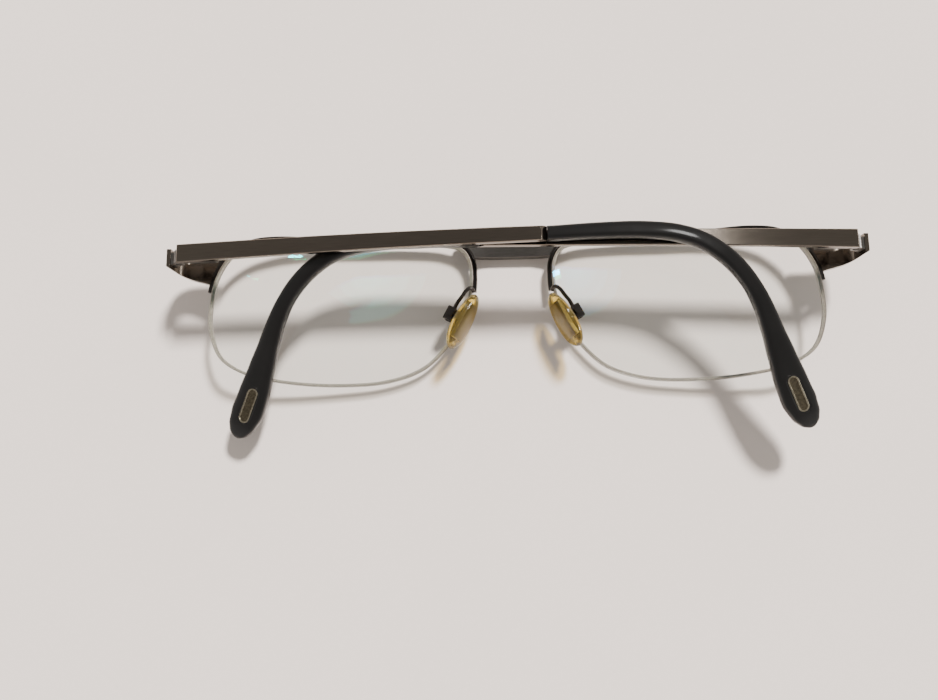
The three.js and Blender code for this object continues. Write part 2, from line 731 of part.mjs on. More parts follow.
function temple(side, fold) {
  const group = new THREE.Group();
  group.position.set(HINGE_X, HINGE_Y, HINGE_Z);
  group.rotation.y = fold;
  group.add(mesh(side + "_hinge_tongue", tongueGeometry(), GUNMETAL));
  group.add(mesh(side + "_temple_bar", barGeometry(), GUNMETAL));
  group.add(mesh(side + "_temple_tip", tipGeometry(), ACETATE));
  group.add(mesh(side + "_tip_core", geometryOf(solid(coreSweep(0, 0))), STEEL));
  group.add(mesh(side + "_tip_plaque", plaqueShape(0, PLAQUE_PROUD - 0.2, PLAQUE_PROUD), SILVER));
  return group;
}

function half(side, sign, fold) {
  const group = new THREE.Group();
  group.scale.x = sign;
  group.add(frontHalf(side), temple(side, fold));
  return group;
}

const spectacles = new THREE.Group();
spectacles.position.y = BOX_CENTRE_SHIFT_Y;
spectacles.add(mesh("bridge", bridgeGeometry(), GUNMETAL));
spectacles.add(half("right", 1, RIGHT_FOLD));
spectacles.add(half("left", -1, LEFT_FOLD));

export default spectacles;
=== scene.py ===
"""Half-rim spectacles: the looks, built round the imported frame.

Lengths named _MM are in millimetres. X runs across the front towards the wearer's right,
Y towards the brow and Z up from the table. The right half is built and then mirrored.
"""

import json
import math

import bmesh
import bpy
import numpy as np
from bpy.props import FloatProperty, FloatVectorProperty, IntProperty, PointerProperty
from mathutils import Matrix, Vector


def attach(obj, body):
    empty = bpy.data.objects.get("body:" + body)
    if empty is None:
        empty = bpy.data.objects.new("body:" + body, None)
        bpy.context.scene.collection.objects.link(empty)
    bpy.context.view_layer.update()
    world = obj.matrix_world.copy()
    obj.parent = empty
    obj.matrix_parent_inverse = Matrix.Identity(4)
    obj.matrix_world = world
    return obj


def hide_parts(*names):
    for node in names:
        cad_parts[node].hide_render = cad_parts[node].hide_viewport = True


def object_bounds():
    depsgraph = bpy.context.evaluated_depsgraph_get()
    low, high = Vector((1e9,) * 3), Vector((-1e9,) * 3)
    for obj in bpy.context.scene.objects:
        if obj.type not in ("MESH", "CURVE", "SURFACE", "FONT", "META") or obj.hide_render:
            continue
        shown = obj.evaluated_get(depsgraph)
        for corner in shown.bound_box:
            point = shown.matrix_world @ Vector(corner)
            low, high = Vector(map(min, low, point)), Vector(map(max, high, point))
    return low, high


bl_info = {
    "name": "Half-rim spectacles",
    "version": (1, 0, 0),
    "blender": (4, 5, 0),
    "location": "View3D > Sidebar > Spectacles",
    "description": "Builds the visible pieces of half-rim spectacles round their frame",
    "category": "Object",
}

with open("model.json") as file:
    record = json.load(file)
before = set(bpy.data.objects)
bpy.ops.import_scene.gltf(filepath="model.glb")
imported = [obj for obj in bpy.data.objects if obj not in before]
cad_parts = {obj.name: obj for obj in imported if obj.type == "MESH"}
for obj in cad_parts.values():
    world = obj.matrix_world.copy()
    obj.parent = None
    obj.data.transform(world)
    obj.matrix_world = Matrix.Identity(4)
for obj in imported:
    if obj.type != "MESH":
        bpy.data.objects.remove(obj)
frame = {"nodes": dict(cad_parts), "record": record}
CAD_LOW, CAD_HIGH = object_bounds()

MM = 0.001
SIDES = (("right", 1), ("left", -1))

# Front, in millimetres.
SHIFT_Y = 4.3357
LENS_RADIUS = 120.0
LENS_APEX_X = 25.6
LENS_MIDDLE = (34.0, 0.3)
LENS_OUTLINE = [
    (8.0, 7.2), (8.3, 10.4), (9.7, 12.8), (13.0, 14.0), (20.5, 14.2), (30.0, 14.3),
    (39.5, 15.1), (47.5, 15.3), (52.6, 14.4), (56.4, 11.8), (59.0, 7.2), (60.05, 1.0),
    (59.8, -4.0), (57.7, -9.2), (53.2, -12.2), (45.5, -13.9), (35.0, -14.6), (25.0, -13.9),
    (18.0, -11.4), (13.4, -7.1), (9.9, -1.5), (8.4, 3.2),
]
RIM_FROM = -0.75  # the rim's nasal end, counted in outline points
RIM_TO = 10.5
RIM_GAP = 0.06
LENS_BEVEL = 0.14
GROOVE_DEPTH = 0.52
GROOVE_HALF_WIDTH = 0.3
SURFACE_SHARES = (0.12, 0.28, 0.44, 0.58, 0.7, 0.8, 0.88, 0.95)
STRAND_OFFSET = -0.23
STRAND_GAP = 0.25  # between the liner and the cord, in outline points
LINER_WIDTH = 0.4
LINER_DEPTH = 0.44
LINER_CORNER = 0.08
ROUND_CORNER = 0.499  # corner radius of a round wire, as a share of its width
CORNER_STEPS = 4

# Temples, in millimetres and degrees.
HINGE = (64.6, 9.85, 11.6)
FOLD = {"right": -0.9, "left": 1.3}
TIP_HALF_THICKNESS = 1.2
TIP_LINE = [
    (71.06, 2.2, 1.45), (81, 2.5, 1.45), (89, 2.4, 1.45), (95, 1.65, 1.45),
    (99.6, 0.05, 1.42), (103, -2.25, 1.3), (105.9, -5.05, 0.95), (108.4, -8.45, 0.35),
    (110.4, -12.35, -0.5), (112, -16.55, -1.5), (113.6, -21.05, -2.55),
    (115.2, -25.45, -3.65), (116.9, -29.6, -4.65), (119.3, -34.3, -5.7),
]
TIP_HALF_WIDTHS = [
    (0, 1.4), (0.26, 1.58), (0.45, 1.6), (0.59, 1.55), (0.65, 1.7), (0.72, 2.0),
    (0.79, 2.5), (0.86, 3.0), (0.92, 3.2), (0.96, 2.7), (0.985, 1.9), (1, 1.1),
]
TIP_THINS_FROM = 0.955
TIP_THINNING = 0.45
TIP_ROUNDS_FROM = 0.975
TIP_ROUND_SHARE = 0.025
TIP_ROUND_POWER = 2.6
TIP_ROUND_RINGS = 9
PLAQUE_AT = 0.9
PLAQUE_LENGTH = 7.0
PLAQUE_WIDTH = 2.1
PLAQUE_SIDES = 48
# Radius and height of each ring of the recess and of the plaque.
RECESS_PROFILE = [(1.1, -0.22), (1.1, 1.0)]
PLAQUE_PROFILE = [
    (1.02, -0.16), (1.05, -0.1), (1.05, 0.0), (1.0, 0.04), (0.83, 0.04), (0.76, -0.05),
    (0.5, -0.055), (0.2, -0.055),
]
BORDER_THEN_FIELD = [0] * 5 + [1] * 2

# Nose pads, in millimetres and degrees.
PAD_CENTRE = (9.8, -2.65, 6.2)
PAD_SPLAY = 18.0
PAD_LEAN = 27.5
PAD_HALF_LENGTH = 5.9
PAD_HALF_WIDTH = 3.3
PAD_TAPER = 0.16  # narrower at the top and wider at the bottom by this share
PAD_SIDES = 56
# Share of the pad's outline and height of each ring, from back to face.
PAD_PROFILE = [
    (0.3, -1.08), (0.6, -1.08), (0.82, -1.06), (0.89, -0.98), (0.94, -0.78), (0.985, -0.45),
    (1.0, -0.15), (0.985, 0.12), (0.95, 0.36), (0.9, 0.56), (0.82, 0.74), (0.7, 0.88),
    (0.52, 0.99), (0.3, 1.06), (0.12, 1.09),
]
PAD_TO_SCREW = 2.85
BOX_UP = 0.35
BOX_HALF_LENGTH = 1.4
BOX_BACK = 1.2
BOX_FRONT = 0.62
BOX_BACK_FROM_PAD = PAD_TO_SCREW + (BOX_BACK - BOX_FRONT) / 2
ARM_IN_BOX = (1.2, 0.06)  # where the arm's straight end begins and stops, beyond the box
ARM_POINTS = 49
ARM_ROUTE = [
    (7.85, 4.0, 3.52), (8.05, 4.4, 4.05), (8.6, 4.45, 4.65), (9.35, 3.8, 5.0), (10.1, 2.7, 5.15),
]

# Lights in metres. Each glow and haze lights one lens only and gives the green-blue spots that
# a coated lens shows from the camera's angle.
KEY_FROM = (0.45, 0.93, 1.0)
KEY_ANGLE = 9
PANEL_AT = (0.205, 0.27, 0.85)
WINDOW_AT = (0.8, 0.1, 0.16)
GLOW_POWER = 620  # per square metre
GLOWS = [  # name, side, place, width, depth, blue
    ("glow_outer", "left", (0.062, 0.108, 0.75), 0.017, 0.009, 0.45),
    ("glow_inner", "left", (-0.001, 0.086, 0.75), 0.018, 0.008, 0.45),
    ("glow_nasal", "right", (0.306, 0.132, 0.75), 0.008, 0.02, 0.7),
]
HAZE_POWER = 3.2  # per square metre
HAZE_SIZES = (0.15, 0.11, 0.075, 0.045)
HAZE_STEP = 0.002
HAZES = [  # side, place, colour
    ("right", (0.267, 0.114, 0.75), (0.0, 0.75, 1.0)),
    ("left", (-0.107, 0.1, 0.75), (0.1, 1.0, 0.8)),
]
ROOM_STOPS = [(0.0, 0.98), (0.6, 0.62), (1.0, 0.25)]  # height and brightness
ROOM_GREEN = 0.955
ROOM_BLUE = 0.9

# Sheet and camera.
SHEET_SIZE = 1.5
SHEET_DROP = 2e-5
CAMERA_ROLL = 1.10
CAMERA_TILT = 10.0
CAMERA_SWING = -1.96
CAMERA_AT = (-4.19, -28.0 - (7.0 - SHIFT_Y), 157.0)
CAMERA_LENS = 30.25


# Sizes and colours that a user may change.


class SpectaclesSizes(bpy.types.PropertyGroup):
    """Sizes of the visible pieces."""

    lens_thickness: FloatProperty(
        name="Lens thickness", description="From the front surface to the back",
        default=2.0 * MM, unit="LENGTH")
    rim_width: FloatProperty(
        name="Rim width", description="Across the front", default=0.9 * MM, unit="LENGTH")
    rim_depth: FloatProperty(
        name="Rim depth", description="Front to back", default=1.05 * MM, unit="LENGTH")
    rim_corner: FloatProperty(
        name="Rim corner radius", description="Rounding of the rim wire's edges",
        default=0.26 * MM, unit="LENGTH")
    cord_diameter: FloatProperty(
        name="Cord diameter", description="Nylon under the lens", default=0.46 * MM, unit="LENGTH")
    arm_diameter: FloatProperty(
        name="Pad arm diameter", description="Wire that holds a pad", default=0.8 * MM,
        unit="LENGTH")
    edge_round: FloatProperty(
        name="Edge rounding", description="Bevel on small machined parts", default=0.05 * MM,
        unit="LENGTH")
    outline_steps: IntProperty(
        name="Outline steps", description="Points between two points of the lens outline",
        default=10, min=2)


class SpectaclesFinishes(bpy.types.PropertyGroup):
    """Colours of the finishes."""

    rim_colour: FloatVectorProperty(
        name="Rim", description="Polished dark plating", subtype="COLOR",
        default=(0.06, 0.054, 0.05), min=0, max=1)
    temple_colour: FloatVectorProperty(
        name="Temples and bridge", description="Brushed grey-brown plating", subtype="COLOR",
        default=(0.185, 0.158, 0.132), min=0, max=1)
    acetate_colour: FloatVectorProperty(
        name="Tips", description="Black acetate", subtype="COLOR",
        default=(0.004, 0.0037, 0.0037), min=0, max=1)
    silicone_colour: FloatVectorProperty(
        name="Nose pads", description="Aged clear silicone", subtype="COLOR",
        default=(0.9, 0.66, 0.14), min=0, max=1)
    paper_colour: FloatVectorProperty(
        name="Table", description="Pale sheet under the spectacles", subtype="COLOR",
        default=(0.9, 0.81, 0.755), min=0, max=1)


def sizes():
    return bpy.context.scene.spectacles_sizes


def finishes():
    return bpy.context.scene.spectacles_finishes


# Curves.


def spline_point(p0, p1, p2, p3, w):
    """Place and direction on a centripetal Catmull-Rom piece between p1 and p2."""
    d0, d1, d2 = (math.sqrt(np.linalg.norm(b - a)) for a, b in ((p0, p1), (p1, p2), (p2, p3)))
    t1 = ((p1 - p0) / d0 - (p2 - p0) / (d0 + d1) + (p2 - p1) / d1) * d1
    t2 = ((p2 - p1) / d1 - (p3 - p1) / (d1 + d2) + (p3 - p2) / d2) * d1
    c2 = -3 * p1 + 3 * p2 - 2 * t1 - t2
    c3 = 2 * p1 - 2 * p2 + t1 + t2
    return p1 + w * (t1 + w * (c2 + w * c3)), t1 + w * (2 * c2 + w * 3 * c3)


def closed_spline(points, station):
    p = np.asarray(points, float)
    i = math.floor(station)
    n = len(p)
    return spline_point(p[(i - 1) % n], p[i % n], p[(i + 1) % n], p[(i + 2) % n], station - i)


class OpenSpline:
    """A smooth line through points, read by its share of length."""

    def __init__(self, points):
        p = np.asarray(points, float)
        self.points = np.vstack([2 * p[0] - p[1], p, 2 * p[-1] - p[-2]])
        self.spans = len(p) - 1
        dense = np.linspace(0, self.spans, 60 * self.spans + 1)
        places = np.array([self.read(s)[0] for s in dense])
        steps = np.linalg.norm(np.diff(places, axis=0), axis=1)
        self.stations = dense
        self.lengths = np.concatenate([[0], np.cumsum(steps)])

    def read(self, station):
        i = min(int(station), self.spans - 1)
        return spline_point(*self.points[i : i + 4], station - i)

    def at(self, share):
        station = np.interp(share * self.lengths[-1], self.lengths, self.stations)
        place, direction = self.read(station)
        return place, direction / np.linalg.norm(direction)


def smoothstep(x, low, high):
    t = np.clip((x - low) / (high - low), 0, 1)
    return t * t * (3 - 2 * t)


def between(table, at):
    """A value from a table of (share, value), eased between its rows."""
    for (a, low), (b, high) in zip(table, table[1:]):
        if at <= b:
            ease = 0.5 * smoothstep(at, a, b) + 0.5 * (at - a) / (b - a)
            return low + (high - low) * ease
    return table[-1][1]


def sag(x, y):
    return LENS_RADIUS - math.sqrt(LENS_RADIUS**2 - (x - LENS_APEX_X) ** 2 - y**2)


def edge_point(station, offset, lift):
    """Outwards from the lens edge by offset, and lift above its front surface."""
    at, along = closed_spline(LENS_OUTLINE, station)
    along = along / np.linalg.norm(along)
    x, y = at[0] - along[1] * offset, at[1] + along[0] * offset
    return np.array([x, y, sag(at[0], at[1]) + lift])


def in_front(points, sign):
    """Points of the right half, in millimetres, placed in the frame in metres."""
    p = np.asarray(points, float).reshape(-1, 3).copy()
    p[:, 1] += SHIFT_Y
    p[:, 0] *= sign
    return p * MM


def in_temple(points, side, sign):
    """The same for points in the temple's own axes, turned to its folded place."""
    p = np.asarray(points, float).reshape(-1, 3)
    turn = math.radians(FOLD[side])
    c, s = math.cos(turn), math.sin(turn)
    x = c * p[:, 0] + s * p[:, 2] + HINGE[0]
    z = -s * p[:, 0] + c * p[:, 2] + HINGE[2]
    return in_front(np.stack([x, p[:, 1] + HINGE[1], z], axis=1), sign)


def pad_axes():
    """Rows: across the pad, towards its top, and out of its face."""
    lean, splay = math.radians(PAD_LEAN), math.radians(PAD_SPLAY)
    up = np.array([-math.sin(lean), math.cos(lean), 0])
    face = np.array([-math.cos(lean), -math.sin(lean), 0]) * math.cos(splay)
    face[2] = math.sin(splay)
    return np.array([np.cross(up, face), up, face])


def in_pad(points, sign):
    return in_front(np.asarray(points, float).reshape(-1, 3) @ pad_axes() + PAD_CENTRE, sign)


# Meshes.


def new_piece(name, mesh, *materials):
    piece = bpy.data.objects.new(name, mesh)
    bpy.context.collection.objects.link(piece)
    for material in materials:
        mesh.materials.append(material)
    return piece


def outward(bm):
    """Turns a closed skin's faces outwards by its signed volume."""
    if bm.calc_volume(signed=True) < 0:
        bmesh.ops.reverse_faces(bm, faces=bm.faces[:])


def ring_mesh(name, rings, place, sharp=40, cap_slot=0, row_slots=None):
    """A closed skin over rings of equally many points, each in millimetres."""
    count = len(rings[0])
    bm = bmesh.new()
    verts = [bm.verts.new(p) for p in place(np.asarray(rings))]
    rows = [verts[i * count : (i + 1) * count] for i in range(len(rings))]
    for i, (low, high) in enumerate(zip(rows, rows[1:])):
        for j in range(count):
            k = (j + 1) % count
            face = bm.faces.new((low[j], low[k], high[k], high[j]))
            face.material_index = row_slots[i] if row_slots else 0
    for row in (rows[0], rows[-1]):
        middle = bm.verts.new(sum((v.co for v in row), Vector()) / count)
        for j in range(count):
            bm.faces.new((row[j], row[(j + 1) % count], middle)).material_index = cap_slot
    bmesh.ops.recalc_face_normals(bm, faces=bm.faces[:])
    outward(bm)
    return finished(bm, name, sharp)


def finished(bm, name, sharp):
    """Smooth faces with edges sharper than an angle kept crisp."""
    limit = math.radians(sharp)
    for face in bm.faces:
        face.smooth = True
    for edge in bm.edges:
        edge.smooth = not (edge.is_manifold and edge.calc_face_angle(0) > limit)
    mesh = bpy.data.meshes.new(name)
    bm.to_mesh(mesh)
    bm.free()
    return mesh


def applied(piece):
    """The piece with its modifiers turned into plain mesh."""
    graph = bpy.context.evaluated_depsgraph_get()
    mesh = bpy.data.meshes.new_from_object(piece.evaluated_get(graph), depsgraph=graph)
    piece.modifiers.clear()
    old = piece.data
    piece.data = mesh
    bpy.data.meshes.remove(old)
    return piece


def machined(node, material, round_by=None, sharp=30):
    """A copy of a frame node with its edges rounded, standing for the node."""
    source = frame["nodes"][node]
    bm = bmesh.new()
    bm.from_mesh(source.data)
    bmesh.ops.remove_doubles(bm, verts=bm.verts[:], dist=2e-6)
    bmesh.ops.dissolve_limit(
        bm, angle_limit=math.radians(0.4), verts=bm.verts[:], edges=bm.edges[:])
    piece = new_piece("visible_" + node, finished(bm, "visible_" + node, sharp), material)
    bevel = piece.modifiers.new("rounding", "BEVEL")
    bevel.width = round_by or sizes().edge_round
    bevel.segments = 2
    bevel.limit_method = "ANGLE"
    bevel.angle_limit = math.radians(sharp)
    bevel.harden_normals = True
    applied(piece)
    return declared(piece, node)


def declared(piece, node):
    """Rides on the node's body and stands for the node, which it hides."""
    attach(piece, body_of_node(node))
    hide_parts(node)
    return piece


def body_of_node(node):
    bodies = frame["record"]["behaviour"]["bodies"]
    return next(body for body, nodes in bodies.items() if node in nodes)


# Geometry Nodes.


def sweep_tree():
    """Sweeps a rounded bar along the piece's path, closed at both ends."""
    name = "rounded_bar_along_path"
    if name in bpy.data.node_groups:
        return bpy.data.node_groups[name]
    tree = bpy.data.node_groups.new(name, "GeometryNodeTree")
    face = tree.interface
    face.new_socket("Path", in_out="INPUT", socket_type="NodeSocketGeometry")
    for label, default in (("Width", 0.9 * MM), ("Depth", 1.05 * MM), ("Corner", 0.25 * MM)):
        socket = face.new_socket(label, in_out="INPUT", socket_type="NodeSocketFloat")
        socket.default_value = default
        socket.subtype = "DISTANCE"
    steps = face.new_socket("Corner steps", in_out="INPUT", socket_type="NodeSocketInt")
    steps.default_value = CORNER_STEPS
    face.new_socket("Material", in_out="INPUT", socket_type="NodeSocketMaterial")
    face.new_socket("Bar", in_out="OUTPUT", socket_type="NodeSocketGeometry")
    nodes, links = tree.nodes, tree.links

    def add(kind, **values):
        node = nodes.new(kind)
        for key, value in values.items():
            setattr(node, key, value)
        return node

    start = add("NodeGroupInput")
    to_curve = add("GeometryNodeMeshToCurve")
    upright = add("GeometryNodeSetCurveNormal", mode="Z_UP")
    section = add("GeometryNodeCurvePrimitiveQuadrilateral")
    corners = add("GeometryNodeFilletCurve", mode="POLY")
    sweep = add("GeometryNodeCurveToMesh")
    smooth = add("GeometryNodeSetShadeSmooth")
    real = add("GeometryNodeRealizeInstances")
    paint = add("GeometryNodeSetMaterial")
    end = add("NodeGroupOutput")
    links.new(start.outputs["Path"], to_curve.inputs["Mesh"])
    links.new(to_curve.outputs["Curve"], upright.inputs["Curve"])
    links.new(upright.outputs["Curve"], sweep.inputs["Curve"])
    links.new(start.outputs["Width"], section.inputs["Width"])
    links.new(start.outputs["Depth"], section.inputs["Height"])
    links.new(section.outputs["Curve"], corners.inputs["Curve"])
    links.new(start.outputs["Corner"], corners.inputs["Radius"])
    links.new(start.outputs["Corner steps"], corners.inputs["Count"])
    links.new(corners.outputs["Curve"], sweep.inputs["Profile Curve"])
    sweep.inputs["Fill Caps"].default_value = True
    links.new(sweep.outputs["Mesh"], smooth.inputs["Geometry"])
    links.new(smooth.outputs["Geometry"], real.inputs["Geometry"])
    links.new(real.outputs["Geometry"], paint.inputs["Geometry"])
    links.new(start.outputs["Material"], paint.inputs["Material"])
    links.new(paint.outputs["Geometry"], end.inputs["Bar"])
    return tree


def swept(name, path, width, depth, corner, material):
    """A bar of that section along path, made by the sweep tree and turned to plain mesh."""
    mesh = bpy.data.meshes.new(name)
    mesh.from_pydata([tuple(p) for p in path], [(i, i + 1) for i in range(len(path) - 1)], [])
    piece = new_piece(name, mesh)
    tree = sweep_tree()
    modifier = piece.modifiers.new("sweep", "NODES")
    values = {"Width": width, "Depth": depth, "Corner": corner,
              "Corner steps": CORNER_STEPS, "Material": material}
    modifier.node_group = tree
    for socket in tree.interface.items_tree:
        if socket.item_type == "SOCKET" and socket.in_out == "INPUT" and socket.name in values:
            modifier[socket.identifier] = values[socket.name]
    applied(piece)
    bm = bmesh.new()
    bm.from_mesh(piece.data)
    bmesh.ops.remove_doubles(bm, verts=bm.verts[:], dist=1e-6)
    bmesh.ops.recalc_face_normals(bm, faces=bm.faces[:])
    outward(bm)
    limit = math.radians(50)
    for edge in bm.edges:
        edge.smooth = not (edge.is_manifold and edge.calc_face_angle(0) > limit)
    bm.to_mesh(piece.data)
    bm.free()
    return piece


# Materials.


class Shader:
    """A Principled material with short calls for the nodes that feed it."""

    def __init__(self, name, colour=(0.5, 0.5, 0.5), **constants):
        self.material = bpy.data.materials.new(name)
        self.material.use_nodes = True
        self.tree = self.material.node_tree
        self.nodes, self.links = self.tree.nodes, self.tree.links
        self.bsdf = self.nodes["Principled BSDF"]
        self.out = self.nodes["Material Output"]
        self.bsdf.inputs["Base Color"].default_value = (*colour, 1)
        for key, value in constants.items():
            self.bsdf.inputs[key.replace("_", " ")].default_value = value

    def node(self, kind, **values):
        made = self.nodes.new(kind)
        for key, value in values.items():
            setattr(made, key, value)
        return made

    def place(self, scale=(1, 1, 1), turn=(0, 0, 0)):
        """Object coordinates, stretched and turned."""
        coordinates = self.node("ShaderNodeTexCoord")
        mapping = self.node("ShaderNodeMapping")
        mapping.inputs["Scale"].default_value = scale
        mapping.inputs["Rotation"].default_value = turn
        self.links.new(coordinates.outputs["Object"], mapping.inputs["Vector"])
        return mapping.outputs["Vector"]

    def noise(self, vector, scale, detail=3.0, rough=0.5):
        made = self.node("ShaderNodeTexNoise")
        made.inputs["Scale"].default_value = scale
        made.inputs["Detail"].default_value = detail
        made.inputs["Roughness"].default_value = rough
        self.links.new(vector, made.inputs["Vector"])
        return made.outputs["Fac"]

    def ramp(self, value, *stops):
        """Grey or coloured stops, each (position, value or colour)."""
        made = self.node("ShaderNodeValToRGB")
        ramp = made.color_ramp
        while len(ramp.elements) < len(stops):
            ramp.elements.new(0.5)
        for element, (position, colour) in zip(ramp.elements, stops):
            element.position = position
            if isinstance(colour, (int, float)):
                colour = (colour, colour, colour)
            element.color = (*colour, 1)
        self.links.new(value, made.inputs["Fac"])
        return made.outputs["Color"]

    def mix(self, factor, a, b, blend="MIX"):
        """Colours a and b mixed: sockets 6 and 7 are the colour inputs, and 2 the output."""
        made = self.node("ShaderNodeMix", data_type="RGBA", blend_type=blend)
        for socket, value in zip((made.inputs["Factor"], made.inputs[6], made.inputs[7]),
                                 (factor, a, b)):
            self.feed(socket, value)
        return made.outputs[2]

    def feed(self, socket, value):
        if isinstance(value, bpy.types.NodeSocket):
            self.links.new(value, socket)
        else:
            socket.default_value = value

    def bump(self, height, strength, distance, onto=None):
        made = self.node("ShaderNodeBump")
        made.inputs["Strength"].default_value = strength
        made.inputs["Distance"].default_value = distance
        self.links.new(height, made.inputs["Height"])
        if onto is not None:
            self.links.new(onto, made.inputs["Normal"])
        return made.outputs["Normal"]

    def set(self, name, value):
        self.feed(self.bsdf.inputs[name], value)

    def pass_light(self, tint):
        """Lets lamps through clear plastic, so that it casts only a faint shadow."""
        clear = self.node("ShaderNodeBsdfTransparent")
        clear.inputs["Color"].default_value = (*tint, 1)
        path = self.node("ShaderNodeLightPath")
        either = self.node("ShaderNodeMath", operation="MAXIMUM")
        mixer = self.node("ShaderNodeMixShader")
        self.links.new(path.outputs["Is Shadow Ray"], either.inputs[0])
        self.links.new(path.outputs["Is Diffuse Ray"], either.inputs[1])
        self.links.new(either.outputs["Value"], mixer.inputs[0])
        self.links.new(self.bsdf.outputs["BSDF"], mixer.inputs[1])
        self.links.new(clear.outputs["BSDF"], mixer.inputs[2])
        self.links.new(mixer.outputs["Shader"], self.out.inputs["Surface"])


def shade(colour, factor):
    return tuple(c * factor for c in colour)


def once(name):
    """Reuses a finished material, or builds it the first time."""

    def wrap(build):
        def get():
            return bpy.data.materials.get(name) or build(name)

        return get

    return wrap


@once("polished_dark_plating")
def polished_metal(name):
    colour = finishes().rim_colour
    s = Shader(name, colour, Metallic=1.0, Roughness=0.2)
    cloud = s.noise(s.place(), 420, 4)
    fine = s.noise(s.place(), 5200, 2)
    s.set("Base Color", s.ramp(cloud, (0.3, shade(colour, 0.82)), (0.7, shade(colour, 1.2))))
    s.set("Roughness", s.ramp(fine, (0.25, 0.14), (0.75, 0.27)))
    s.set("Normal", s.bump(fine, 0.12, 4e-6))
    return s.material


@once("brushed_plating")
def brushed_metal(name):
    """Satin metal with fine lines along X and a slow drift in tone."""
    colour = finishes().temple_colour
    s = Shader(name, colour, Metallic=1.0, Roughness=0.15, Anisotropic=0.2)
    lines = s.noise(s.place((110, 11000, 11000)), 1, 4, 0.6)
    deep = s.noise(s.place((130, 16000, 16000)), 1, 2, 0.7)
    drift = s.noise(s.place(), 70, 2)
    tone = s.ramp(lines, (0.2, shade(colour, 0.8)), (0.8, shade(colour, 1.2)))
    drifted = s.mix(0.5, tone, s.ramp(drift, (0.3, 0.55), (0.7, 1.0)), "MULTIPLY")
    s.set("Base Color", s.mix(0.75, drifted, tone))
    s.set("Roughness", s.ramp(deep, (0.2, 0.12), (0.8, 0.18)))
    s.set("Normal", s.bump(deep, 0.25, 5e-6, s.bump(lines, 0.2, 8e-6)))
    return s.material


@once("satin_steel")
def satin_metal(name):
    colour = (0.2, 0.19, 0.18)
    s = Shader(name, colour, Metallic=1.0, Roughness=0.32)
    grain = s.noise(s.place((600, 6000, 6000)), 1, 3)
    s.set("Base Color", s.ramp(grain, (0.3, shade(colour, 0.9)), (0.7, shade(colour, 1.1))))
    s.set("Roughness", s.ramp(grain, (0.3, 0.28), (0.7, 0.36)))
    s.set("Normal", s.bump(grain, 0.05, 4e-6))
    return s.material


@once("antique_silver")
def plaque_metal(name):
    return aged_silver(name, (0.42, 0.38, 0.29))


@once("antique_silver_field")
def plaque_field(name):
    return aged_silver(name, (0.17, 0.145, 0.1))


def aged_silver(name, colour):
    s = Shader(name, colour, Metallic=1.0, Roughness=0.36)
    patina = s.noise(s.place(), 2600, 4, 0.6)
    scratches = s.noise(s.place((300, 300, 300), (0, 0, 0.9)), 12, 3)
    s.set("Base Color", s.ramp(patina, (0.3, shade(colour, 0.5)), (0.6, colour)))
    s.set("Roughness", s.ramp(scratches, (0.3, 0.3), (0.7, 0.5)))
    s.set("Normal", s.bump(patina, 0.3, 1e-5))
    return s.material


@once("black_acetate")
def black_acetate(name):
    colour = finishes().acetate_colour
    s = Shader(name, colour, Roughness=0.3, IOR=1.48, Specular_IOR_Level=0.4,
               Coat_Weight=0.3, Coat_Roughness=0.07)
    cloud = s.noise(s.place(), 150, 3)
    haze = s.noise(s.place(), 3800, 3)
    rub = s.noise(s.place(), 700, 3)
    s.set("Base Color", s.ramp(cloud, (0.3, shade(colour, 0.8)), (0.75, shade(colour, 1.5))))
    s.set("Roughness", s.mix(0.5, s.ramp(haze, (0.3, 0.28), (0.7, 0.34)),
                             s.ramp(rub, (0.35, 0.28), (0.65, 0.36))))
    s.set("Normal", s.bump(haze, 0.05, 3e-6))
    return s.material


@once("amber_silicone")
def amber_silicone(name):
    colour = finishes().silicone_colour
    s = Shader(name, colour, Roughness=0.06, IOR=1.41, Transmission_Weight=0.97)
    cloud = s.noise(s.place(), 330, 3)
    skin = s.noise(s.place(), 2600, 2)
    s.set("Base Color", s.ramp(cloud, (0.3, shade(colour, 0.84)), (0.7, colour)))
    s.set("Roughness", s.ramp(skin, (0.3, 0.03), (0.7, 0.1)))
    s.set("Normal", s.bump(skin, 0.15, 1.2e-5))
    s.pass_light((0.75, 0.66, 0.42))
    return s.material


@once("clear_lens")
def clear_lens(name):
    """Clear plastic with a thin film for its coating."""
    s = Shader(name, (0.985, 0.995, 0.99), Roughness=0.0, IOR=1.56, Transmission_Weight=1.0,
               Thin_Film_Thickness=330, Thin_Film_IOR=1.38)
    smear = s.noise(s.place(), 240, 4, 0.6)
    s.set("Base Color", s.ramp(smear, (0.3, (0.965, 0.985, 0.98)), (0.7, (0.99, 1, 0.998))))
    s.pass_light((0.93, 0.94, 0.935))
    return s.material


@once("ground_lens_edge")
def ground_edge(name):
    s = Shader(name, (0.3, 0.27, 0.23), Roughness=0.45, IOR=1.5, Transmission_Weight=0.2)
    grind = s.noise(s.place(), 2400, 3)
    s.set("Base Color", s.ramp(grind, (0.3, (0.23, 0.205, 0.17)), (0.7, (0.38, 0.345, 0.295))))
    s.set("Roughness", s.ramp(grind, (0.3, 0.35), (0.7, 0.6)))
    s.set("Normal", s.bump(grind, 0.3, 1e-5))
    s.pass_light((0.5, 0.49, 0.46))
    return s.material


@once("clear_nylon")
def clear_nylon(name):
    s = Shader(name, (0.7, 0.69, 0.66), Roughness=0.2, IOR=1.53, Transmission_Weight=0.8)
    streak = s.noise(s.place(), 1500, 2)
    s.set("Base Color", s.ramp(streak, (0.3, (0.62, 0.61, 0.58)), (0.7, (0.78, 0.77, 0.74))))
    s.set("Roughness", s.ramp(streak, (0.3, 0.14), (0.7, 0.28)))
    s.pass_light((0.6, 0.6, 0.58))
    return s.material


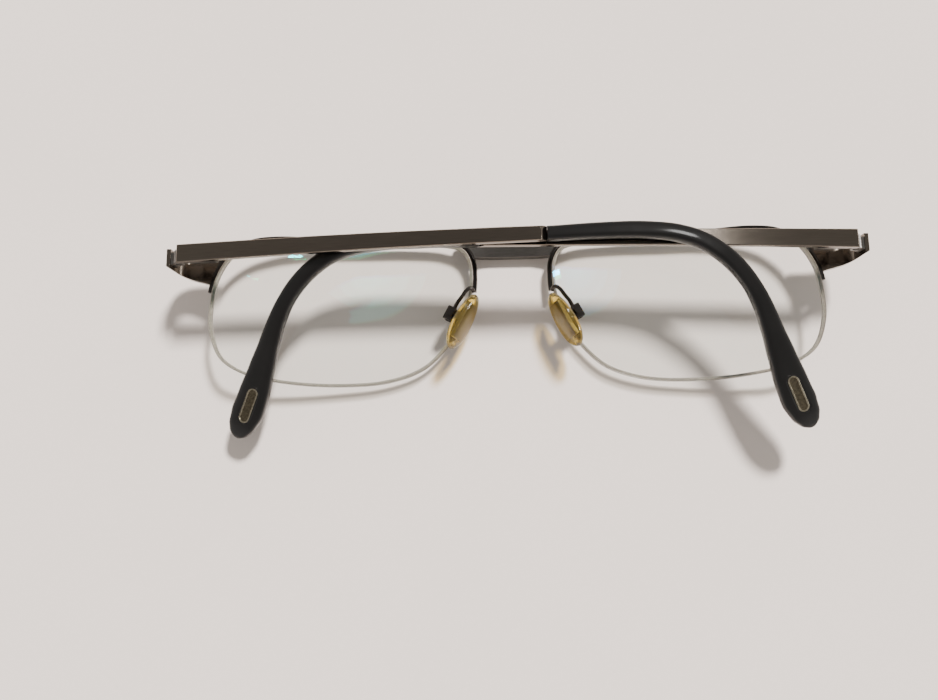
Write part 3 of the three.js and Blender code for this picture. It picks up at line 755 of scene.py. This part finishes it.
@once("pale_paper")
def pale_paper(name):
    colour = finishes().paper_colour
    s = Shader(name, colour, Roughness=0.85, Specular_IOR_Level=0.2)
    fibre = s.noise(s.place(), 900, 5, 0.65)
    cloud = s.noise(s.place(), 22, 3)
    tone = s.ramp(cloud, (0.3, shade(colour, 0.985)), (0.7, shade(colour, 1.015)))
    s.set("Base Color", s.mix(0.05, tone, s.ramp(fibre, (0.3, 0.4), (0.7, 0.75))))
    s.set("Normal", s.bump(fibre, 0.12, 2e-5))
    return s.material


# Pieces.


class SPECTACLES_OT_lenses(bpy.types.Operator):
    """Build both lenses, curved like a dish and grooved for the nylon"""

    bl_idname = "spectacles.lenses"
    bl_label = "Lenses"

    def execute(self, context):
        thick = sizes().lens_thickness / MM
        steps = sizes().outline_steps
        count = len(LENS_OUTLINE) * steps
        stations = [i / steps for i in range(count)]
        middle = np.array(LENS_MIDDLE)

        def surface(share, lift):
            ring = []
            for s in stations:
                xy = edge_point(s, -LENS_BEVEL, 0)[:2]
                x, y = middle + (xy - middle) * share
                ring.append((x, y, sag(x, y) + lift))
            return ring

        def edge(offset, lift):
            return [edge_point(s, offset, lift) for s in stations]

        low, high = thick / 2 - GROOVE_HALF_WIDTH, thick / 2 + GROOVE_HALF_WIDTH
        around = [
            (-LENS_BEVEL, 0), (0, LENS_BEVEL), (0, low), (-GROOVE_DEPTH, low),
            (-GROOVE_DEPTH, high), (0, high), (0, thick - LENS_BEVEL), (-LENS_BEVEL, thick),
        ]
        rings = [surface(k, 0) for k in SURFACE_SHARES]
        rings += [edge(offset, lift) for offset, lift in around]
        rings += [surface(k, thick) for k in reversed(SURFACE_SHARES)]
        clear = [0] * len(SURFACE_SHARES)
        slots = clear + [1] * (len(around) - 1) + clear
        for side, sign in SIDES:
            name = side + "_clear_lens"
            mesh = ring_mesh(name, rings, lambda p, sign=sign: in_front(p, sign), 30,
                             row_slots=slots)
            piece = new_piece(name, mesh, clear_lens(), ground_edge())
            declared(piece, side + "_lens")
        return {"FINISHED"}


class SPECTACLES_OT_rims(bpy.types.Operator):
    """Sweep the rims, the nylon in and under the lenses, and the pad arms"""

    bl_idname = "spectacles.rims"
    bl_label = "Rims, nylon and pad arms"

    def execute(self, context):
        size = sizes()
        middle = size.lens_thickness / MM / 2
        last = len(LENS_OUTLINE) + RIM_FROM - STRAND_GAP
        rim_offset = RIM_GAP + size.rim_width / MM / 2

        def along_edge(first, end, offset):
            count = int(round((end - first) * size.outline_steps)) + 1
            return [edge_point(s, offset, middle) for s in np.linspace(first, end, count)]

        box_end = [
            (0, BOX_UP + BOX_HALF_LENGTH + away, -BOX_BACK_FROM_PAD) for away in ARM_IN_BOX
        ]
        in_box = in_pad(box_end, 1) / MM - (0, SHIFT_Y, 0)
        wire = OpenSpline([*ARM_ROUTE, *in_box])
        arm = [wire.at(k)[0] for k in np.linspace(0, 1, ARM_POINTS)]
        for side, sign in SIDES:
            rows = (
                ("rim", along_edge(RIM_FROM, RIM_TO, rim_offset), size.rim_width,
                 size.rim_depth, size.rim_corner, polished_metal()),
                ("rim_liner", along_edge(RIM_FROM, RIM_TO - STRAND_GAP, STRAND_OFFSET),
                 LINER_WIDTH * MM, LINER_DEPTH * MM, LINER_CORNER * MM, clear_nylon()),
                ("lens_cord", along_edge(RIM_TO, last, STRAND_OFFSET), size.cord_diameter,
                 size.cord_diameter, ROUND_CORNER * size.cord_diameter, clear_nylon()),
                ("pad_arm", arm, size.arm_diameter, size.arm_diameter,
                 ROUND_CORNER * size.arm_diameter, polished_metal()),
            )
            for kind, path, width, depth, corner, material in rows:
                node = f"{side}_{kind}"
                piece = swept("visible_" + node, in_front(path, sign), width, depth, corner,
                              material)
                declared(piece, node)
        return {"FINISHED"}


class SPECTACLES_OT_metalwork(bpy.types.Operator):
    """Round the edges of the bridge, endpieces, hinges, temple bars and pad boxes"""

    bl_idname = "spectacles.metalwork"
    bl_label = "Bridge, hinges and temple bars"

    def execute(self, context):
        machined("bridge", satin_metal(), 0.16 * MM)
        for side, _ in SIDES:
            machined(side + "_endpiece", brushed_metal(), 0.1 * MM)
            machined(side + "_hinge_ears", satin_metal())
            machined(side + "_hinge_screw", satin_metal(), 0.03 * MM)
            machined(side + "_hinge_tongue", satin_metal())
            machined(side + "_temple_bar", brushed_metal(), sharp=20)
            machined(side + "_pad_box", polished_metal(), 0.12 * MM)
            machined(side + "_pad_screw", polished_metal(), 0.03 * MM)
            machined(side + "_pad_insert", satin_metal())
            machined(side + "_tip_core", satin_metal())
        return {"FINISHED"}


class SPECTACLES_OT_tips(bpy.types.Operator):
    """Loft the black tips, recess them for their plaques, and set the blank plaques"""

    bl_idname = "spectacles.tips"
    bl_label = "Temple tips and plaques"

    sides: IntProperty(name="Sides", description="Faces round a tip", default=40)
    steps: IntProperty(name="Steps", description="Faces along a tip", default=110)

    def execute(self, context):
        line = OpenSpline([(-u, v, w) for u, v, w in TIP_LINE])

        def frame_at(share):
            at, along = line.at(share)
            side = np.cross((0, 0, 1), along)
            side /= np.linalg.norm(side)
            return at, along, side, np.cross(along, side)

        def ring(share):
            at, _, side, out = frame_at(share)
            end = smoothstep(share, TIP_THINS_FROM, 1)
            round_off = max(0.0, (share - TIP_ROUNDS_FROM) / TIP_ROUND_SHARE)
            blunt = max(1 - round_off**TIP_ROUND_POWER, 1e-4) ** (1 / TIP_ROUND_POWER)
            width = between(TIP_HALF_WIDTHS, share) * blunt
            thick = TIP_HALF_THICKNESS * (1 - TIP_THINNING * end) * blunt
            angles = (np.arange(self.sides) + 0.5) * 2 * math.pi / self.sides
            across = np.sign(np.cos(angles)) * np.abs(np.cos(angles)) ** 0.5 * width
            up = np.sign(np.sin(angles)) * np.abs(np.sin(angles)) ** 0.5 * thick
            return at + np.outer(across, side) + np.outer(up, out)

        closing = np.sin(np.linspace(0.15, 1.57, TIP_ROUND_RINGS))
        shares = np.concatenate([
            np.linspace(0, TIP_ROUNDS_FROM, self.steps),
            TIP_ROUNDS_FROM + TIP_ROUND_SHARE * closing])
        rings = [ring(k) for k in shares]
        at, along, side_way, out = frame_at(PLAQUE_AT)

        def stadium(radius, height):
            straight = (PLAQUE_LENGTH - PLAQUE_WIDTH) / 2
            points = []
            for k in range(PLAQUE_SIDES):
                angle = 2 * math.pi * (k + 0.5) / PLAQUE_SIDES
                x = math.cos(angle) * radius + math.copysign(straight, math.cos(angle))
                points.append(at + along * x + side_way * math.sin(angle) * radius
                              + out * (TIP_HALF_THICKNESS + height))
            return points

        recess = [stadium(*row) for row in RECESS_PROFILE]
        plate = [stadium(*row) for row in PLAQUE_PROFILE]
        for side, sign in SIDES:
            def place(p, side=side, sign=sign):
                return in_temple(p, side, sign)

            tip = new_piece(side + "_black_tip",
                            ring_mesh(side + "_black_tip", rings, place, 50), black_acetate())
            cutter = new_piece("cutter", ring_mesh("cutter", recess, place, 30),
                               black_acetate())
            cut = tip.modifiers.new("recess", "BOOLEAN")
            cut.operation = "DIFFERENCE"
            cut.object = cutter
            applied(tip)
            bpy.data.objects.remove(cutter)
            declared(tip, side + "_temple_tip")
            plaque = new_piece(side + "_blank_plaque",
                               ring_mesh(side + "_blank_plaque", plate, place, 35, cap_slot=1,
                                         row_slots=BORDER_THEN_FIELD),
                               plaque_metal(), plaque_field())
            declared(plaque, side + "_tip_plaque")
        return {"FINISHED"}


class SPECTACLES_OT_pads(bpy.types.Operator):
    """Mould the two soft nose pads round their plates"""

    bl_idname = "spectacles.pads"
    bl_label = "Nose pads"

    def execute(self, context):
        rings = []
        for share, height in PAD_PROFILE:
            ring = []
            for i in range(PAD_SIDES):
                angle = i * 2 * math.pi / PAD_SIDES
                y = math.sin(angle)
                width = PAD_HALF_WIDTH * (1 - PAD_TAPER * y)
                ring.append((share * width * math.cos(angle), share * PAD_HALF_LENGTH * y, height))
            rings.append(ring)
        for side, sign in SIDES:
            name = side + "_soft_pad"
            mesh = ring_mesh(name, rings, lambda p, sign=sign: in_pad(p, sign), 60)
            declared(new_piece(name, mesh, amber_silicone()), side + "_nose_pad")
        return {"FINISHED"}


def link_lamp(lamp, state, *pieces):
    """Lets a lamp light only these pieces, or all but them."""
    group = bpy.data.collections.new(lamp.name + "_pieces")
    for piece in pieces:
        group.objects.link(bpy.data.objects[piece])
    for item in group.collection_objects:
        item.light_linking.link_state = state
    lamp.light_linking.receiver_collection = group


def new_lamp(name, kind, energy, colour, at, **values):
    """A lamp aimed at the middle of the spectacles."""
    data = bpy.data.lights.new(name, kind)
    data.energy = energy
    data.color = colour
    for key, value in values.items():
        setattr(data, key, value)
    made = bpy.data.objects.new(name, data)
    made.location = at
    aim = Vector((0, 0, 0.005))
    made.rotation_euler = (aim - Vector(at)).to_track_quat("-Z", "Y").to_euler()
    bpy.context.collection.objects.link(made)
    return made


def lay_sheet():
    bm = bmesh.new()
    bmesh.ops.create_grid(bm, x_segments=2, y_segments=2, size=SHEET_SIZE)
    for vert in bm.verts:
        vert.co.z = CAD_LOW[2] - SHEET_DROP
    sheet = new_piece("pale_sheet", finished(bm, "pale_sheet", 30), pale_paper())


def hang_lamps():
    lenses = [side + "_clear_lens" for side, _ in SIDES]
    key = new_lamp("key", "SUN", 8.0, (1.0, 0.955, 0.915), KEY_FROM,
                   angle=math.radians(KEY_ANGLE))
    key.visible_glossy = False
    panel = new_lamp("ceiling_panel", "AREA", 0.24, (1.0, 0.99, 0.97), PANEL_AT,
                     shape="DISK", size=0.05)
    panel.visible_diffuse = False
    link_lamp(panel, "EXCLUDE", *lenses, "visible_bridge")
    window = new_lamp("side_window", "AREA", 5.0, (1.0, 0.98, 0.95), WINDOW_AT, size=0.2)
    window.visible_diffuse = False
    link_lamp(window, "EXCLUDE", *lenses, "right_black_tip", "left_black_tip")
    for name, side, at, wide, deep, blue in GLOWS:
        glow = new_lamp(name, "AREA", GLOW_POWER * wide * deep, (0.0, 1.0, blue), at,
                        shape="RECTANGLE", size=wide, size_y=deep)
        link_lamp(glow, "INCLUDE", side + "_clear_lens")
    for side, (x, y, z), colour in HAZES:
        for layer, size in enumerate(HAZE_SIZES):
            haze = new_lamp(f"{side}_haze_{layer}", "AREA", HAZE_POWER * size**2, colour,
                            (x, y, z + layer * HAZE_STEP), shape="DISK", size=size)
            link_lamp(haze, "INCLUDE", side + "_clear_lens")


def fill_room():
    """A soft surround, bright below and darker overhead."""
    world = bpy.data.worlds.new("soft_room")
    world.use_nodes = True
    nodes, links = world.node_tree.nodes, world.node_tree.links
    back = nodes["Background"]
    back.inputs["Strength"].default_value = 1.0
    where = nodes.new("ShaderNodeTexCoord")
    apart = nodes.new("ShaderNodeSeparateXYZ")
    height = nodes.new("ShaderNodeValToRGB")
    links.new(where.outputs["Generated"], apart.inputs["Vector"])
    links.new(apart.outputs["Z"], height.inputs["Fac"])
    links.new(height.outputs["Color"], back.inputs["Color"])
    height.color_ramp.elements.new(0.5)
    for element, (position, grey) in zip(height.color_ramp.elements, ROOM_STOPS):
        element.position = position
        element.color = (grey, grey * ROOM_GREEN, grey * ROOM_BLUE, 1)
    bpy.context.scene.world = world


def set_camera():
    roll, tilt, swing = (math.radians(a) for a in (CAMERA_ROLL, CAMERA_TILT, CAMERA_SWING))
    right = Vector((math.cos(roll), -math.sin(roll), 0))
    up = Vector((math.sin(roll), math.cos(roll), 0))
    ahead = Vector((0, 0, -1)) + math.tan(tilt) * up + math.tan(swing) * right
    ahead.normalize()
    right = (right - right.dot(ahead) * ahead).normalized()
    up = right.cross(ahead)
    place = Matrix((right, up, -ahead)).transposed().to_4x4()
    place.translation = Vector(CAMERA_AT) * MM
    data = bpy.data.cameras.new("camera")
    data.lens = CAMERA_LENS
    data.sensor_width = 36
    data.clip_start = 0.005
    camera = bpy.data.objects.new("camera", data)
    camera.matrix_world = place
    bpy.context.collection.objects.link(camera)
    bpy.context.scene.camera = camera


class SPECTACLES_OT_stage(bpy.types.Operator):
    """Lay the pale sheet, hang the lights and set the camera"""

    bl_idname = "spectacles.stage"
    bl_label = "Table, lights and camera"

    def execute(self, context):
        lay_sheet()
        hang_lamps()
        fill_room()
        set_camera()
        return {"FINISHED"}


OPERATORS = (
    SPECTACLES_OT_lenses,
    SPECTACLES_OT_rims,
    SPECTACLES_OT_metalwork,
    SPECTACLES_OT_tips,
    SPECTACLES_OT_pads,
    SPECTACLES_OT_stage,
)


class SPECTACLES_PT_panel(bpy.types.Panel):
    """Buttons for each group of pieces"""

    bl_idname = "SPECTACLES_PT_panel"
    bl_label = "Spectacles"
    bl_space_type = "VIEW_3D"
    bl_region_type = "UI"
    bl_category = "Spectacles"

    def draw(self, context):
        for group in (context.scene.spectacles_sizes, context.scene.spectacles_finishes):
            for key in group.bl_rna.properties.keys():
                if key not in ("rna_type", "name"):
                    self.layout.prop(group, key)
        for operator in OPERATORS:
            self.layout.operator(operator.bl_idname)


CLASSES = (SpectaclesSizes, SpectaclesFinishes, *OPERATORS, SPECTACLES_PT_panel)


def register():
    for cls in CLASSES:
        bpy.utils.register_class(cls)
    bpy.types.Scene.spectacles_sizes = PointerProperty(type=SpectaclesSizes)
    bpy.types.Scene.spectacles_finishes = PointerProperty(type=SpectaclesFinishes)


def unregister():
    del bpy.types.Scene.spectacles_finishes
    del bpy.types.Scene.spectacles_sizes
    for cls in reversed(CLASSES):
        bpy.utils.unregister_class(cls)


def main():
    register()
    bpy.ops.spectacles.lenses()
    bpy.ops.spectacles.rims()
    bpy.ops.spectacles.metalwork()
    bpy.ops.spectacles.tips()
    bpy.ops.spectacles.pads()
    bpy.ops.spectacles.stage()


if __name__ == "__main__":
    main()
